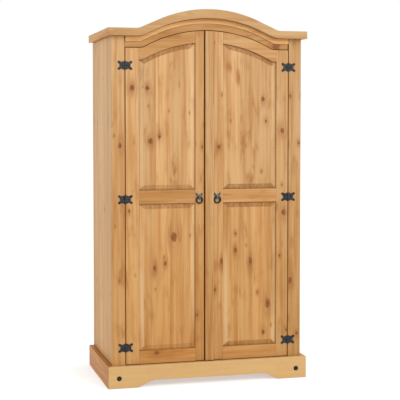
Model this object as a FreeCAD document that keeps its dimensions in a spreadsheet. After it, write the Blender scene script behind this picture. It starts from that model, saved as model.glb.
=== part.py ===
import FreeCAD, Part
import os
import re

import Sketcher
from FreeCAD import Rotation, Vector

# A two-door pine wardrobe with an arched cornice, raised and fielded door panels, black
# butterfly hinges and ring pulls. Millimetres. The origin is on the floor, under the middle
# of the whole object. +X is to the right, +Y to the back and +Z up, so the doors face -Y.

# Driving dimensions. Heights ending in _z are measured up from the floor.
DIMENSIONS = {
    # carcass
    "body_width": 990,
    "body_depth": 553,
    "side_thickness": 18,
    "board_thickness": 18,
    "frame_thickness": 22,
    "stile_width": 67,
    "back_thickness": 4,
    "back_sheet_gap": 2,
    "muntin_width": 60,
    # plinth
    "plinth_height": 110,
    "plinth_thickness": 25,
    "plinth_foot_inner": 366,
    "plinth_cut_inner": 276,
    "plinth_cut_height": 33,
    "plinth_shoulder_height": 22,
    "plinth_shoulder_radius": 137,
    "stud_radius": 12.5,
    "stud_rise": 5,
    "stud_position": 464.5,
    "stud_z": 50,
    "stud_shank_radius": 3,
    "stud_shank_length": 14,
    # cornice
    "cornice_side_overhang": 22,
    "cornice_front_overhang": 34,
    "cornice_wing_z": 1788,
    "cornice_crown_z": 1889,
    "cornice_crown_radius": 630,
    "cornice_slope": 23.8,
    "cornice_valley_radius": 65,
    # underside of the cornice
    "soffit_wing_z": 1750.5,
    "soffit_crown_z": 1844,
    "soffit_crown_radius": 660,
    "soffit_slope": 24.5,
    "soffit_valley_radius": 110,
    # joint between the header board and the arched rail under it
    "header_wing_z": 1723.5,
    "header_crown_z": 1819,
    "header_crown_radius": 655,
    "header_slope": 25.2,
    "header_valley_radius": 50,
    "header_board_proud": 3,
    "header_rail_recess": 1,
    "header_board_gap_left": 2.5,
    "header_board_gap_right": 1,
    "header_rail_gap_right": 4.5,
    # arched top of the door opening
    "opening_wing_z": 1696,
    "opening_crown_z": 1786,
    "opening_crown_radius": 678,
    "opening_slope": 27.6,
    "opening_valley_radius": 50,
    # inside
    "shelf_z": 1480,
    "shelf_front_gap": 8,
    "cleat_height": 30,
    "cleat_width": 20,
    "cleat_end_gap": 15,
    "rail_z": 1425,
    "rail_radius": 12.5,
    "rail_wall": 1.2,
    "socket_radius": 18,
    "socket_length": 14,
    "socket_fit": 0.1,
    "socket_floor": 3,
    # doors
    "door_thickness": 20,
    "door_gap": 2.5,
    "door_top_gap": 3,
    "door_bottom_gap": 3,
    "left_panel_outer": 357.5,
    "left_panel_inner": 67,
    "right_panel_inner": 78,
    "right_panel_outer": 363,
    "left_door_edge": 21.2,
    "right_door_edge": -16.4,
    "top_rail_height": 58,
    "mid_rail_bottom_z": 917,
    "mid_rail_top_z": 984,
    "bottom_rail_top_z": 178,
    "groove_front": 9.5,
    "groove_width": 6,
    "groove_depth": 10,
    "tongue_depth": 8.5,
    "tongue_fit": 0.2,
    "tenon_drop": 1,
    "bevel_width": 24,
    "bevel_foot": 0.5,
    "bevel_top": 4.6,
    "field_step": 1,
    "field_recess": 3,
    "closing_strip_width": 44,
    "closing_strip_proud": 8,
    # butterfly hinges
    "hinge_top_z": 1605,
    "hinge_mid_z": 940,
    "hinge_low_z": 197.5,
    "leaf_thickness": 2,
    "leaf_root": 0.8,
    "leaf_half_height": 20.3,
    "leaf_shoulder": 17.5,
    "leaf_shoulder_height": 15.5,
    "leaf_body_radius": 23,
    "lug_top": 28.5,
    "lug_top_height": 22,
    "lug_end": 36.3,
    "lug_end_height": 13.5,
    "lug_tip_radius": 6.2,
    "notch": 26,
    "notch_height": 5,
    "notch_radius": 9,
    "barrel_offset": 3.8,
    "barrel_radius": 3.5,
    "barrel_half_height": 20.8,
    "knuckle_gap": 0.4,
    "pin_radius": 1.5,
    "pin_fit": 0.05,
    "pin_cap_radius": 3.2,
    "pin_cap_height": 1.2,
    # screws
    "screw_shank_radius": 1.5,
    "screw_length": 14,
    "screw_hole_fit": 0.3,
    "screw_dome_radius": 3.6,
    "screw_dome_angle": 35,
    "centre_screw": 15,
    "lug_screw": 30,
    "lug_screw_height": 16,
    # ring pulls
    "handle_position": 47.3,
    "handle_z": 946,
    "plate_half_height": 12.5,
    "plate_shoulder": 6.5,
    "plate_shoulder_height": 11,
    "plate_body_radius": 14,
    "ear_top": 10.5,
    "ear_top_height": 20.5,
    "ear_end": 17.5,
    "ear_end_height": 14.5,
    "ear_tip_radius": 4.9,
    "plate_waist": 12.5,
    "plate_waist_height": 5,
    "plate_waist_radius": 9,
    "plate_screw": 12,
    "plate_screw_height": 15,
    "plate_screw_length": 10,
    "eye_offset": 6.6,
    "eye_radius": 4.4,
    "eye_length": 9,
    "eye_foot_height": 5,
    "ring_radius": 15.7,
    "ring_wire_radius": 3.3,
    "ring_pin_radius": 2.1,
    "ring_pin_half_length": 9,
    "ring_pin_fit": 0.06,
    "ring_open_angle": 24,
    # magnetic catches and their strike plates
    "catch_position": 47,
    "catch_width": 42,
    "catch_height": 13,
    "catch_depth": 14,
    "strike_thickness": 1.2,
    "strike_width": 34,
    "strike_height": 12,
    "catch_clearance": 0.4,
    # how far a cutter or a buried end runs past the surface that it must clear
    "overshoot": 1,
}

# Places that follow from the dimensions, as formulas that the document evaluates.
PLACES = {
    "half_width": "body_width / 2",
    "front": "cornice_front_overhang - (body_depth + cornice_front_overhang) / 2",
    "back": "(body_depth + cornice_front_overhang) / 2",
    "frame_back": "front + frame_thickness",
    "inner_half": "half_width - side_thickness",
    "opening_half": "half_width - stile_width",
    "ply_front": "back - back_thickness",
    "door_outer": "opening_half - door_gap",
    "door_bottom_z": "plinth_height + door_bottom_gap",
    "door_back": "front + door_thickness",
    "door_wing_z": "opening_wing_z - door_top_gap",
    "hinge_axis": "opening_half - door_gap / 2",
    "hinge_axis_y": "front - barrel_offset",
    "knuckle": "barrel_half_height * 2 / 5",
    "pin_bore": "pin_radius + pin_fit",
    "ring_axis_y": "front - eye_offset",
    "shelf_front": "frame_back + shelf_front_gap",
    "catch_front": "door_back + strike_thickness + catch_clearance",
    "top_inside_z": "cornice_wing_z - board_thickness",
}

LEFT = -1
RIGHT = 1
HINGE_HEIGHTS = {"top": "hinge_top_z", "middle": "hinge_mid_z", "bottom": "hinge_low_z"}

doc = FreeCAD.newDocument("Wardrobe")
sheet = doc.addObject("Spreadsheet::Sheet", "Dims")
parts = []


def fill_sheet():
    for row, (name, size) in enumerate(DIMENSIONS.items(), start=1):
        sheet.set(f"A{row}", name)
        sheet.set(f"B{row}", str(size))
        sheet.setAlias(f"B{row}", name)
    doc.recompute()


def formula(text):
    """Turns the words of a formula into references to the sheet."""

    def replace(match):
        word = match.group(0)
        if word in PLACES:
            return f"({formula(PLACES[word])})"
        if word in DIMENSIONS:
            return f"Dims.{word}"
        return word

    return re.sub(r"[A-Za-z_]\w*", replace, str(text))


def value(text):
    """The number that a formula has now."""
    return float(sheet.evalExpression(formula(text)))


def bind(thing, **formulas):
    """Binds properties of a document object; an underscore stands for the dot in a path."""
    for name, text in formulas.items():
        thing.setExpression(name.replace("_", "."), formula(text))


def place(thing, x="0", y="0", z="0"):
    bind(thing, Placement_Base_x=x, Placement_Base_y=y, Placement_Base_z=z)


def keep(thing, label):
    """Marks an object as a sub-part: it is checked and written under its label."""
    thing.Label = label
    parts.append(thing)
    return thing


# ---- plain boards, rods and groups ----------------------------------------------------------


def board(name, x, y, z):
    """A box between pairs of formulas."""
    box = doc.addObject("Part::Box", name)
    bind(box, Length=f"({x[1]}) - ({x[0]})", Width=f"({y[1]}) - ({y[0]})", Height=f"({z[1]}) - ({z[0]})")
    place(box, x[0], y[0], z[0])
    return box


def rod(name, radius, length, x, y, z, turn=None):
    """A cylinder that starts at x, y, z and runs up, or along the axis that a turn gives it."""
    cylinder = doc.addObject("Part::Cylinder", name)
    bind(cylinder, Radius=radius, Height=length)
    if turn:
        cylinder.Placement.Rotation = turn
    place(cylinder, x, y, z)
    return cylinder


def dome(name, radius, cut_angle, x, y, z):
    """The cap of a ball above a latitude, bulging towards -Y, with the ball's centre at x, y, z."""
    ball = doc.addObject("Part::Sphere", name)
    bind(ball, Radius=radius, Angle1=cut_angle)
    ball.Placement.Rotation = ALONG_MINUS_Y
    place(ball, x, y, z)
    return ball


def fuse(name, shapes):
    joined = doc.addObject("Part::MultiFuse", name)
    joined.Shapes = shapes
    return joined


def cut(name, base, tool):
    result = doc.addObject("Part::Cut", name)
    result.Base = base
    result.Tool = tool
    return result


def group(name, shapes):
    """Separate solids that share one file."""
    compound = doc.addObject("Part::Compound", name)
    compound.Links = shapes
    return compound


QUARTER_TURN = 90
ALONG_X = Rotation(Vector(0, 1, 0), QUARTER_TURN)
ALONG_MINUS_X = Rotation(Vector(0, 1, 0), -QUARTER_TURN)
ALONG_MINUS_Y = Rotation(Vector(1, 0, 0), QUARTER_TURN)
ALONG_Y = Rotation(Vector(1, 0, 0), -QUARTER_TURN)
FLIPPED = Rotation(Vector(0, 1, 0), 2 * QUARTER_TURN)


# ---- sketched bodies ------------------------------------------------------------------------


def new_body(name):
    return doc.addObject("PartDesign::Body", name)


def origin_plane(body, role):
    return next(feature for feature in body.Origin.OriginFeatures if feature.Role == role)


def attach(body, name, role, offset):
    sketch = body.newObject("Sketcher::SketchObject", name)
    sketch.AttachmentSupport = [(origin_plane(body, role), "")]
    sketch.MapMode = "FlatFace"
    bind(sketch, AttachmentOffset_Base_z=offset)
    return sketch


def arc_through(start, end, radius, turn):
    """The short arc between two points; turn is 1 for a left-hand bend and -1 for a right-hand one."""
    chord = end - start
    middle = (start + end) * 0.5
    left = Vector(-chord.y, chord.x, 0).normalize()
    reach = max(radius**2 - (chord.Length / 2) ** 2, 0) ** 0.5
    centre = middle + left * (turn * reach)
    circle = Part.Circle(centre, Vector(0, 0, 1), radius)
    first, last = (start, end) if turn > 0 else (end, start)
    return Part.ArcOfCircle(circle, circle.parameter(first), circle.parameter(last))


def outline(body, name, role, offset, points, mirror=1):
    """A closed sketch. Each point is (x, z), or (x, z, radius, turn) when an arc leaves it.

    Both coordinates and the radii are formulas, and mirror = -1 flips the outline in x.
    """
    sketch = attach(body, name, role, offset)
    corners = [Vector(mirror * value(point[0]), value(point[1]), 0) for point in points]
    ends = []
    for index, point in enumerate(points):
        start = corners[index]
        end = corners[(index + 1) % len(corners)]
        if len(point) == 2:
            edge = sketch.addGeometry(Part.LineSegment(start, end), False)
            ends.append((edge, 1, 2))
            continue
        turn = point[3] * mirror
        edge = sketch.addGeometry(arc_through(start, end, value(point[2]), turn), False)
        ends.append((edge, 1, 2) if turn > 0 else (edge, 2, 1))
    for index, point in enumerate(points):
        edge, start, end = ends[index]
        following, following_start, _ = ends[(index + 1) % len(ends)]
        sketch.addConstraint(Sketcher.Constraint("Coincident", edge, end, following, following_start))
        fix(sketch, "DistanceX", edge, start, corners[index].x, f"{mirror} * ({point[0]})")
        fix(sketch, "DistanceY", edge, start, corners[index].y, point[1])
        if len(point) == 4:
            index_of_radius = sketch.addConstraint(Sketcher.Constraint("Radius", edge, value(point[2])))
            sketch.setExpression(f"Constraints[{index_of_radius}]", formula(point[2]))
    return sketch


def fix(sketch, kind, edge, end, size, text):
    index = sketch.addConstraint(Sketcher.Constraint(kind, edge, end, size))
    sketch.setExpression(f"Constraints[{index}]", formula(text))


def circles(body, name, role, offset, centres, radius):
    """A sketch of equal circles."""
    sketch = attach(body, name, role, offset)
    for x, z in centres:
        circle = Part.Circle(Vector(value(x), value(z), 0), Vector(0, 0, 1), value(radius))
        edge = sketch.addGeometry(circle, False)
        fix(sketch, "DistanceX", edge, 3, value(x), x)
        fix(sketch, "DistanceY", edge, 3, value(z), z)
        index = sketch.addConstraint(Sketcher.Constraint("Radius", edge, value(radius)))
        sketch.setExpression(f"Constraints[{index}]", formula(radius))
    return sketch


def pad(body, sketch, length, reverse=True):
    """Thickens a sketch; a front-view sketch grows towards +Y when reversed."""
    feature = body.newObject("PartDesign::Pad", sketch.Name + "_pad")
    feature.Profile = sketch
    feature.Reversed = reverse
    bind(feature, Length=length)
    return feature


def pocket(body, sketch, length=None, both_ways=False, reverse=False):
    """Cuts a sketch into the body, through everything when no length is given."""
    feature = body.newObject("PartDesign::Pocket", sketch.Name + "_pocket")
    feature.Profile = sketch
    feature.Midplane = both_ways
    feature.Reversed = reverse
    if length:
        bind(feature, Length=length)
    else:
        feature.Type = "ThroughAll"
    return feature


def loft(body, first, second):
    feature = body.newObject("PartDesign::AdditiveLoft", first.Name + "_loft")
    feature.Profile = first
    feature.Sections = [second]
    feature.Ruled = True
    return feature


def rectangle(x0, x1, z0, z1):
    return [(x0, z0), (x1, z0), (x1, z1), (x0, z1)]


def front_piece(name, points, y, thickness, mirror=1):
    """A body whose front view is an outline, from y backwards."""
    body = new_body(name)
    sketch = outline(body, name + "_outline", "XZ_Plane", f"-({y})", points, mirror)
    pad(body, sketch, thickness)
    return body


# ---- the arch ---------------------------------------------------------------------------------


def ogee(curve, end, drop="0", wing_start=None, valley_start=None):
    """Left half of an arch, from its flat wing up to x = end: flat, valley arc, slope, crown arc.

    curve is the first word of its dimensions, and drop lowers the whole curve. With a
    valley_start the curve has no flat: it starts at that x on the valley arc.
    """
    wing, crown = f"({curve}_wing_z - ({drop}))", f"({curve}_crown_z - ({drop}))"
    radius, slope, valley = f"{curve}_crown_radius", f"{curve}_slope", f"{curve}_valley_radius"
    crown_x = f"({radius} * sin({slope}))"
    crown_z = f"({crown} - {radius} * (1 - cos({slope})))"
    corner = f"({crown_x} + ({crown_z} - {wing}) / tan({slope}))"
    reach = f"({valley} * tan({slope} / 2))"
    points = [
        (f"-({corner} + {reach})", wing, valley, 1),
        (f"-({corner} - {reach} * cos({slope}))", f"{wing} + {reach} * sin({slope})"),
        (f"-{crown_x}", crown_z, radius, -1),
        (end, f"{crown} - {radius} + sqrt({radius} ^ 2 - ({end}) ^ 2)"),
    ]
    if valley_start:
        half_way = f"(({valley_start}) - ({corner} - {reach} * cos({slope}))) / 2"
        starts = [
            (x, f"{wing} + {valley} - sqrt({valley} ^ 2 - ({x} + {corner} + {reach}) ^ 2)", valley, 1)
            for x in (valley_start, half_way)
        ]
        return starts + points[1:]
    return [(wing_start, wing)] + points if wing_start else points


def mirrored_curve(points):
    """The same curve in the right half, still followed from left to right."""
    flipped = [(f"-({point[0]})", point[1]) for point in reversed(points)]
    arcs = [point[2:] for point in reversed(points[:-1])] + [()]
    return [end + arc for end, arc in zip(flipped, arcs)]


def backwards(points):
    """The same curve followed the other way."""
    ends = [point[:2] for point in reversed(points)]
    arcs = [point[2:] for point in reversed(points[:-1])]
    bends = [(arc[0], -arc[1]) if arc else () for arc in arcs] + [()]
    return [end + bend for end, bend in zip(ends, bends)]


def whole_arch(curve, left_end, right_end):
    """The full curve from one wing's end to the other, from left to right."""
    left = ogee(curve, "0", wing_start=left_end)
    right = mirrored_curve(ogee(curve, "0", wing_start=f"-({right_end})"))
    return left[:-1] + right[1:]


# ---- carcass ------------------------------------------------------------------------------------


def carcass_boards():
    for side, name in ((LEFT, "left"), (RIGHT, "right")):
        outer, inner = sorted_pair(side, "half_width", "inner_half")
        keep(board(f"{name}_side_panel", (outer, inner), ("frame_back", "back"), ("0", "soffit_wing_z")),
             f"{name}_side_panel")
        outer, inner = sorted_pair(side, "half_width", "opening_half")
        keep(board(f"{name}_face_stile", (outer, inner), ("front", "frame_back"),
                   ("0", "soffit_wing_z")), f"{name}_face_stile")
    wide = ("-inner_half", "inner_half")
    keep(board("top_panel", wide, ("frame_back", "ply_front"), ("top_inside_z", "cornice_wing_z")),
         "top_panel")
    keep(board("back_muntin", ("-muntin_width / 2", "muntin_width / 2"),
               ("ply_front - board_thickness", "ply_front"), ("plinth_height", "top_inside_z")),
         "back_muntin")
    back_y = ("ply_front", "back")
    back_z = ("plinth_height - board_thickness", "cornice_wing_z")
    sheets = [board("left_back_sheet", ("-inner_half", "-back_sheet_gap / 2"), back_y, back_z),
              board("right_back_sheet", ("back_sheet_gap / 2", "inner_half"), back_y, back_z)]
    keep(group("back_panels", sheets), "back_panels")


def floor_panel():
    """The floor board, notched at the front corners around the face stiles."""
    plan = [("-inner_half", "ply_front"), ("-inner_half", "frame_back"), ("-opening_half", "frame_back"),
            ("-opening_half", "front"), ("opening_half", "front"), ("opening_half", "frame_back"),
            ("inner_half", "frame_back"), ("inner_half", "ply_front")]
    body = new_body("floor_panel")
    sketch = outline(body, "floor_plan", "XY_Plane", "plinth_height - board_thickness", plan)
    pad(body, sketch, "board_thickness", reverse=False)
    keep(body, "floor_panel")


def sorted_pair(side, outer, inner):
    """Two distances from the middle as a low-to-high pair on one side."""
    return (f"-({outer})", f"-({inner})") if side == LEFT else (inner, outer)


def shelf_and_rail():
    shelf_back = "ply_front - board_thickness"
    keep(board("top_shelf", ("-inner_half", "inner_half"), ("shelf_front", shelf_back),
               ("shelf_z", "shelf_z + board_thickness")), "top_shelf")
    cleats = []
    sockets = []
    middle = "(shelf_front + ply_front) / 2"
    for side, name in ((LEFT, "left"), (RIGHT, "right")):
        x = sorted_pair(side, "inner_half", "inner_half - cleat_width")
        y = ("shelf_front + cleat_end_gap", f"{shelf_back} - cleat_end_gap")
        cleats.append(board(f"{name}_cleat", x, y, ("shelf_z - cleat_height", "shelf_z")))
        start = f"{side} * inner_half"
        turn = ALONG_X if side == LEFT else ALONG_MINUS_X
        cup = rod(f"{name}_cup", "socket_radius", "socket_length", start, middle, "rail_z", turn)
        seat_start = f"{side} * (inner_half - socket_floor)"
        seat = rod(f"{name}_seat", "rail_radius + socket_fit", "socket_length", seat_start, middle,
                   "rail_z", turn)
        sockets.append(cut(f"{name}_socket", cup, seat))
    keep(group("shelf_cleats", cleats), "shelf_cleats")
    keep(group("rail_sockets", sockets), "rail_sockets")
    start = "socket_floor - inner_half"
    length = "2 * (inner_half - socket_floor)"
    tube = rod("rail_tube", "rail_radius", length, start, middle, "rail_z", ALONG_X)
    hollow = rod("rail_hollow", "rail_radius - rail_wall", length, start, middle, "rail_z", ALONG_X)
    keep(cut("hanging_rail", tube, hollow), "hanging_rail")


def header():
    board_left = "header_board_gap_left - opening_half"
    board_right = "opening_half - header_board_gap_right"
    top = backwards(whole_arch("soffit", board_left, board_right))
    bottom = whole_arch("header", board_left, board_right)
    keep(front_piece("header_board", bottom + top, "front - header_board_proud",
                     "frame_thickness + header_board_proud"), "header_board")
    rail_right = "opening_half - header_rail_gap_right"
    top = backwards(whole_arch("header", "-opening_half", rail_right))
    bottom = whole_arch("opening", "-opening_half", rail_right)
    keep(front_piece("header_arch_rail", bottom + top, "front + header_rail_recess",
                     "frame_thickness - header_rail_recess"), "header_arch_rail")


def cornice():
    outer = "(half_width + cornice_side_overhang)"
    inner = "inner_half"
    nose = "(front - cornice_front_overhang)"
    bottom = whole_arch("soffit", f"-{outer}", outer)
    top = backwards(whole_arch("cornice", f"-{outer}", outer))
    body = front_piece("cornice_front", bottom + top, nose, "cornice_front_overhang + frame_thickness")
    mitre = [(f"-{outer} - overshoot", nose), (f"-{outer}", nose), (f"-{inner}", "frame_back"),
             (f"-{inner}", "frame_back + overshoot"),
             (f"-{outer} - overshoot", "frame_back + overshoot")]
    for side, name in ((1, "left"), (-1, "right")):
        sketch = outline(body, f"cornice_{name}_mitre", "XY_Plane", "0", mitre, side)
        pocket(body, sketch, both_ways=True)
    keep(body, "cornice_front")
    plan = [(f"-{outer}", nose), (f"-{inner}", "frame_back"), (f"-{inner}", "back"),
            (f"-{outer}", "back")]
    for side, name in ((1, "cornice_left"), (-1, "cornice_right")):
        body = new_body(name)
        sketch = outline(body, name + "_plan", "XY_Plane", "soffit_wing_z", plan, side)
        pad(body, sketch, "cornice_wing_z - soffit_wing_z", reverse=False)
        keep(body, name)


def plinth():
    outer = "(half_width + plinth_thickness)"
    nose = "(front - plinth_thickness)"
    height = "plinth_height"
    rise = "plinth_cut_height"
    middle = "((plinth_foot_inner + plinth_cut_inner) / 2)"
    points = [
        (f"-{outer}", "0"),
        ("-plinth_foot_inner", "0"),
        (f"-{middle}", "plinth_shoulder_height", "plinth_shoulder_radius", -1),
        ("-plinth_cut_inner", rise),
        ("plinth_cut_inner", rise, "plinth_shoulder_radius", -1),
        (middle, "plinth_shoulder_height"),
        ("plinth_foot_inner", "0"),
        (outer, "0"),
        (outer, height),
        (f"-{outer}", height),
    ]
    body = front_piece("plinth_front", points, nose, "plinth_thickness")
    mitre = [(f"-{outer} - overshoot", nose), (f"-{outer}", nose), ("-half_width", "front"),
             ("-half_width", "front + overshoot"), (f"-{outer} - overshoot", "front + overshoot")]
    for side, name in ((1, "left"), (-1, "right")):
        sketch = outline(body, f"plinth_{name}_mitre", "XY_Plane", "0", mitre, side)
        pocket(body, sketch, both_ways=True)
    keep(body, "plinth_front")
    plan = [(f"-{outer}", nose), ("-half_width", "front"), ("-half_width", "back"),
            (f"-{outer}", "back")]
    for side, name in ((1, "plinth_left"), (-1, "plinth_right")):
        body = new_body(name)
        sketch = outline(body, name + "_plan", "XY_Plane", "0", plan, side)
        pad(body, sketch, height, reverse=False)
        keep(body, name)
    keep(board("plinth_back", ("-inner_half", "inner_half"),
               ("ply_front - board_thickness", "ply_front"),
               ("0", "plinth_height - board_thickness")), "plinth_back")
    keep(group("plinth_studs", [stud("left_stud", LEFT, nose), stud("right_stud", RIGHT, nose)]),
         "plinth_studs")


def stud(name, side, face):
    """A black domed stud: a shallow cap of a ball on a short shank."""
    x = f"{side} * stud_position"
    ball = "((stud_radius ^ 2 + stud_rise ^ 2) / (2 * stud_rise))"
    cap = dome(f"{name}_cap", ball, f"acos(stud_radius / {ball})", x, f"{face} + {ball} - stud_rise",
               "stud_z")
    shank = rod(f"{name}_shank", "stud_shank_radius", "stud_shank_length", x, face, "stud_z", ALONG_Y)
    return fuse(name, [cap, shank])


def catches():
    blocks = []
    for side, name in ((LEFT, "left"), (RIGHT, "right")):
        x = (f"{side} * catch_position - catch_width / 2", f"{side} * catch_position + catch_width / 2")
        blocks.append(board(f"{name}_catch", x, ("catch_front", "catch_front + catch_depth"),
                            ("top_inside_z - catch_height", "top_inside_z")))
    keep(group("magnetic_catches", blocks), "magnetic_catches")


# ---- hinges and screws ----------------------------------------------------------------------

# Ends of a barrel's five knuckles, in knuckles from its middle. The frame leaf has the outer two
# and the middle one, and the door leaf has the two between.
KNUCKLE_ENDS = (-2.5, -1.5, -0.5, 0.5, 1.5, 2.5)
KNUCKLES = tuple(zip(KNUCKLE_ENDS, KNUCKLE_ENDS[1:]))
FRAME_KNUCKLES = KNUCKLES[0::2]
DOOR_KNUCKLES = KNUCKLES[1::2]
# Each leaf's screws, out from the barrel and up from its middle.
LEAF_SCREWS = (
    ("centre_screw", "0"),
    ("lug_screw", "lug_screw_height"),
    ("lug_screw", "-lug_screw_height"),
)


def butterfly(root, half_height, shoulder, body_radius, tip, tip_radius, waist, waist_radius):
    """Right half of a butterfly outline: a round body with a lug above and a lug below."""
    upper = [
        (root, half_height, body_radius, -1),
        shoulder,
        tip[0] + (tip_radius, -1),
        tip[1],
        waist + (waist_radius, -1),
    ]
    lower = [
        (waist[0], f"-({waist[1]})"),
        (tip[1][0], f"-({tip[1][1]})", tip_radius, -1),
        (tip[0][0], f"-({tip[0][1]})"),
        (shoulder[0], f"-({shoulder[1]})", body_radius, -1),
        (root, f"-({half_height})"),
    ]
    return upper + lower


def hinge_leaf(name, side, spans):
    """A leaf whose own origin is on the wood's surface, beside the middle of the barrel.

    It reaches to +X, or to -X on side -1, and carries the knuckles between the spans of heights,
    counted in knuckles from the barrel's middle.
    """
    outer_lug = (("lug_top", "lug_top_height"), ("lug_end", "lug_end_height"))
    body = new_body(name)
    points = butterfly("leaf_root", "leaf_half_height", ("leaf_shoulder", "leaf_shoulder_height"),
                       "leaf_body_radius", outer_lug, "lug_tip_radius", ("notch", "notch_height"),
                       "notch_radius")
    plate = outline(body, name + "_outline", "XZ_Plane", "leaf_thickness", points)
    pad(body, plate, "leaf_thickness")
    clear_other_knuckles(body, name, spans)
    for index, (low, high) in enumerate(spans):
        sketch = circles(body, f"{name}_knuckle_{index}", "XY_Plane", knuckle_edge(low, 1),
                         [("0", "-barrel_offset")], "barrel_radius")
        pad(body, sketch, f"({knuckle_edge(high, -1)}) - ({knuckle_edge(low, 1)})", reverse=False)
    bore = circles(body, name + "_bore", "XY_Plane", "0", [("0", "-barrel_offset")], "pin_bore")
    pocket(body, bore, both_ways=True)
    holes = circles(body, name + "_holes", "XZ_Plane", "0", LEAF_SCREWS,
                    "screw_shank_radius + screw_hole_fit")
    pocket(body, holes, both_ways=True)
    if side == LEFT:
        body.Placement.Rotation = FLIPPED
    return body


def knuckle_edge(level, inwards):
    """Height of a knuckle's end; inner ends keep half the gap, the barrel's own ends none."""
    barrel_end = level in (KNUCKLE_ENDS[0], KNUCKLE_ENDS[-1])
    gap = "0" if barrel_end else f"{inwards} * knuckle_gap / 2"
    return f"{level} * knuckle + {gap}"


def clear_other_knuckles(body, name, spans):
    """Cuts the leaf back where the other leaf's knuckles turn."""
    others = [span for span in KNUCKLES if span not in spans]
    for index, (low, high) in enumerate(others):
        low_z = f"{low} * knuckle - knuckle_gap / 2"
        high_z = f"{high} * knuckle + knuckle_gap / 2"
        clear = rectangle("-overshoot", "barrel_radius + knuckle_gap", low_z, high_z)
        sketch = outline(body, f"{name}_relief_{index}", "XZ_Plane", "0", clear)
        pocket(body, sketch, both_ways=True)


def hinges():
    pins = []
    for side, hand in ((LEFT, "left"), (RIGHT, "right")):
        for level, height in HINGE_HEIGHTS.items():
            frame_name = f"{hand}_{level}_hinge_frame_leaf"
            leaf = hinge_leaf(frame_name, side, FRAME_KNUCKLES)
            place(leaf, f"{side} * hinge_axis", "front", height)
            keep(leaf, frame_name)
            door_name = f"{hand}_{level}_hinge_door_leaf"
            leaf = hinge_leaf(door_name, -side, DOOR_KNUCKLES)
            place(leaf, f"{side} * hinge_axis", "front", height)
            keep(leaf, door_name)
            pins.append(hinge_pin(f"{hand}_{level}_pin", side, height))
    keep(group("hinge_pins", pins), "hinge_pins")


def hinge_pin(name, side, height):
    """A pin with a cap on each end of the barrel."""
    x = f"{side} * hinge_axis"
    low = f"{height} - barrel_half_height"
    high = f"{height} + barrel_half_height"
    shaft = rod(f"{name}_shaft", "pin_radius", "2 * barrel_half_height", x, "hinge_axis_y", low)
    foot = rod(f"{name}_foot", "pin_cap_radius", "pin_cap_height", x, "hinge_axis_y",
               f"{low} - pin_cap_height")
    head = rod(f"{name}_head", "pin_cap_radius", "pin_cap_height", x, "hinge_axis_y", high)
    return fuse(name, [foot, shaft, head])


def screw(name, x, z, length="screw_length"):
    """A round-headed wood screw whose head sits on a plate and whose shank runs back."""
    surface = "front - leaf_thickness"
    centre = f"{surface} + screw_dome_radius * sin(screw_dome_angle)"
    head = dome(f"{name}_head", "screw_dome_radius", "screw_dome_angle", x, centre, z)
    shank = rod(f"{name}_shank", "screw_shank_radius", length, x, surface, z, ALONG_Y)
    return fuse(name, [head, shank])


def leaf_screws(name, side, direction):
    """Three screws in each of a side's three leaves; direction is the way those leaves reach."""
    screws = []
    for level, height in HINGE_HEIGHTS.items():
        for index, (reach, rise) in enumerate(LEAF_SCREWS):
            x = f"{side} * hinge_axis + {direction} * {reach}"
            screws.append(screw(f"{name}_{level}_{index}", x, f"{height} + {rise}"))
    return screws


def frame_screws():
    screws = leaf_screws("left_frame_screw", LEFT, -1) + leaf_screws("right_frame_screw", RIGHT, 1)
    keep(group("frame_screws", screws), "frame_screws")


# ---- doors ------------------------------------------------------------------------------------


def sight_edges(mirror):
    """How far a door's panels are from the middle at their inner and their outer edge."""
    hand = "left" if mirror == 1 else "right"
    return f"{hand}_panel_inner", f"{hand}_panel_outer"


def door_curve(end, start, lower="0"):
    """Top edge of a door, or a curve lower on it, from the hinge side to x = -end."""
    return ogee("opening", f"-({end})", drop=f"door_top_gap + {lower}", wing_start=f"-({start})")


def crown_height(u, lower="0"):
    """Height of a door's top edge on its crown arc at a distance u from the middle."""
    return (f"opening_crown_z - door_top_gap - ({lower}) - opening_crown_radius"
            f" + sqrt(opening_crown_radius ^ 2 - ({u}) ^ 2)")


def groove(body, name, x0, x1, z0, z1, mirror):
    """A straight panel groove, cut as a slot inside the board's thickness."""
    sketch = outline(body, name, "XZ_Plane", "-(front + groove_front)", rectangle(x0, x1, z0, z1),
                     mirror)
    pocket(body, sketch, "groove_width")


def stile(name, outer, inner, edge_faces_middle, mirror):
    """An upright of a door between two distances from the middle, with its panel groove."""
    if edge_faces_middle:
        top = [(f"-({inner})", "door_wing_z"), (f"-({outer})", "door_wing_z")]
    else:
        top = [(f"-({inner})", crown_height(inner), "opening_crown_radius", 1),
               (f"-({outer})", crown_height(outer))]
    points = [(f"-({outer})", "door_bottom_z"), (f"-({inner})", "door_bottom_z")] + top
    body = front_piece(name, points, "front", "door_thickness", mirror)
    high = "opening_crown_z"
    if edge_faces_middle:
        groove(body, name + "_groove", f"-({inner} + groove_depth)", f"-({inner}) + overshoot", "0",
               high, mirror)
    else:
        groove(body, name + "_groove", f"-({outer}) - overshoot", f"-({outer} - groove_depth)", "0",
               high, mirror)
    return body


def rail_tenons(body, name, lower_edge, upper_edge, mirror):
    """The tongues on a rail's ends, which fill the stiles' grooves."""
    thickness = "groove_width - 2 * tongue_fit"
    front_of_tongue = "-(front + groove_front + tongue_fit)"
    inner, outer = sight_edges(mirror)
    low_left, low_right = lower_edge
    high_left, high_right = upper_edge
    outer_end = rectangle(f"-({outer} + tongue_depth)", f"-{outer} + overshoot", low_left,
                          high_left)
    inner_end = rectangle(f"-{inner} - overshoot", f"-({inner} - tongue_depth)", low_right,
                          high_right)
    for end, points in (("outer", outer_end), ("inner", inner_end)):
        sketch = outline(body, f"{name}_{end}_tongue", "XZ_Plane", front_of_tongue, points, mirror)
        pad(body, sketch, thickness)


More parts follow.
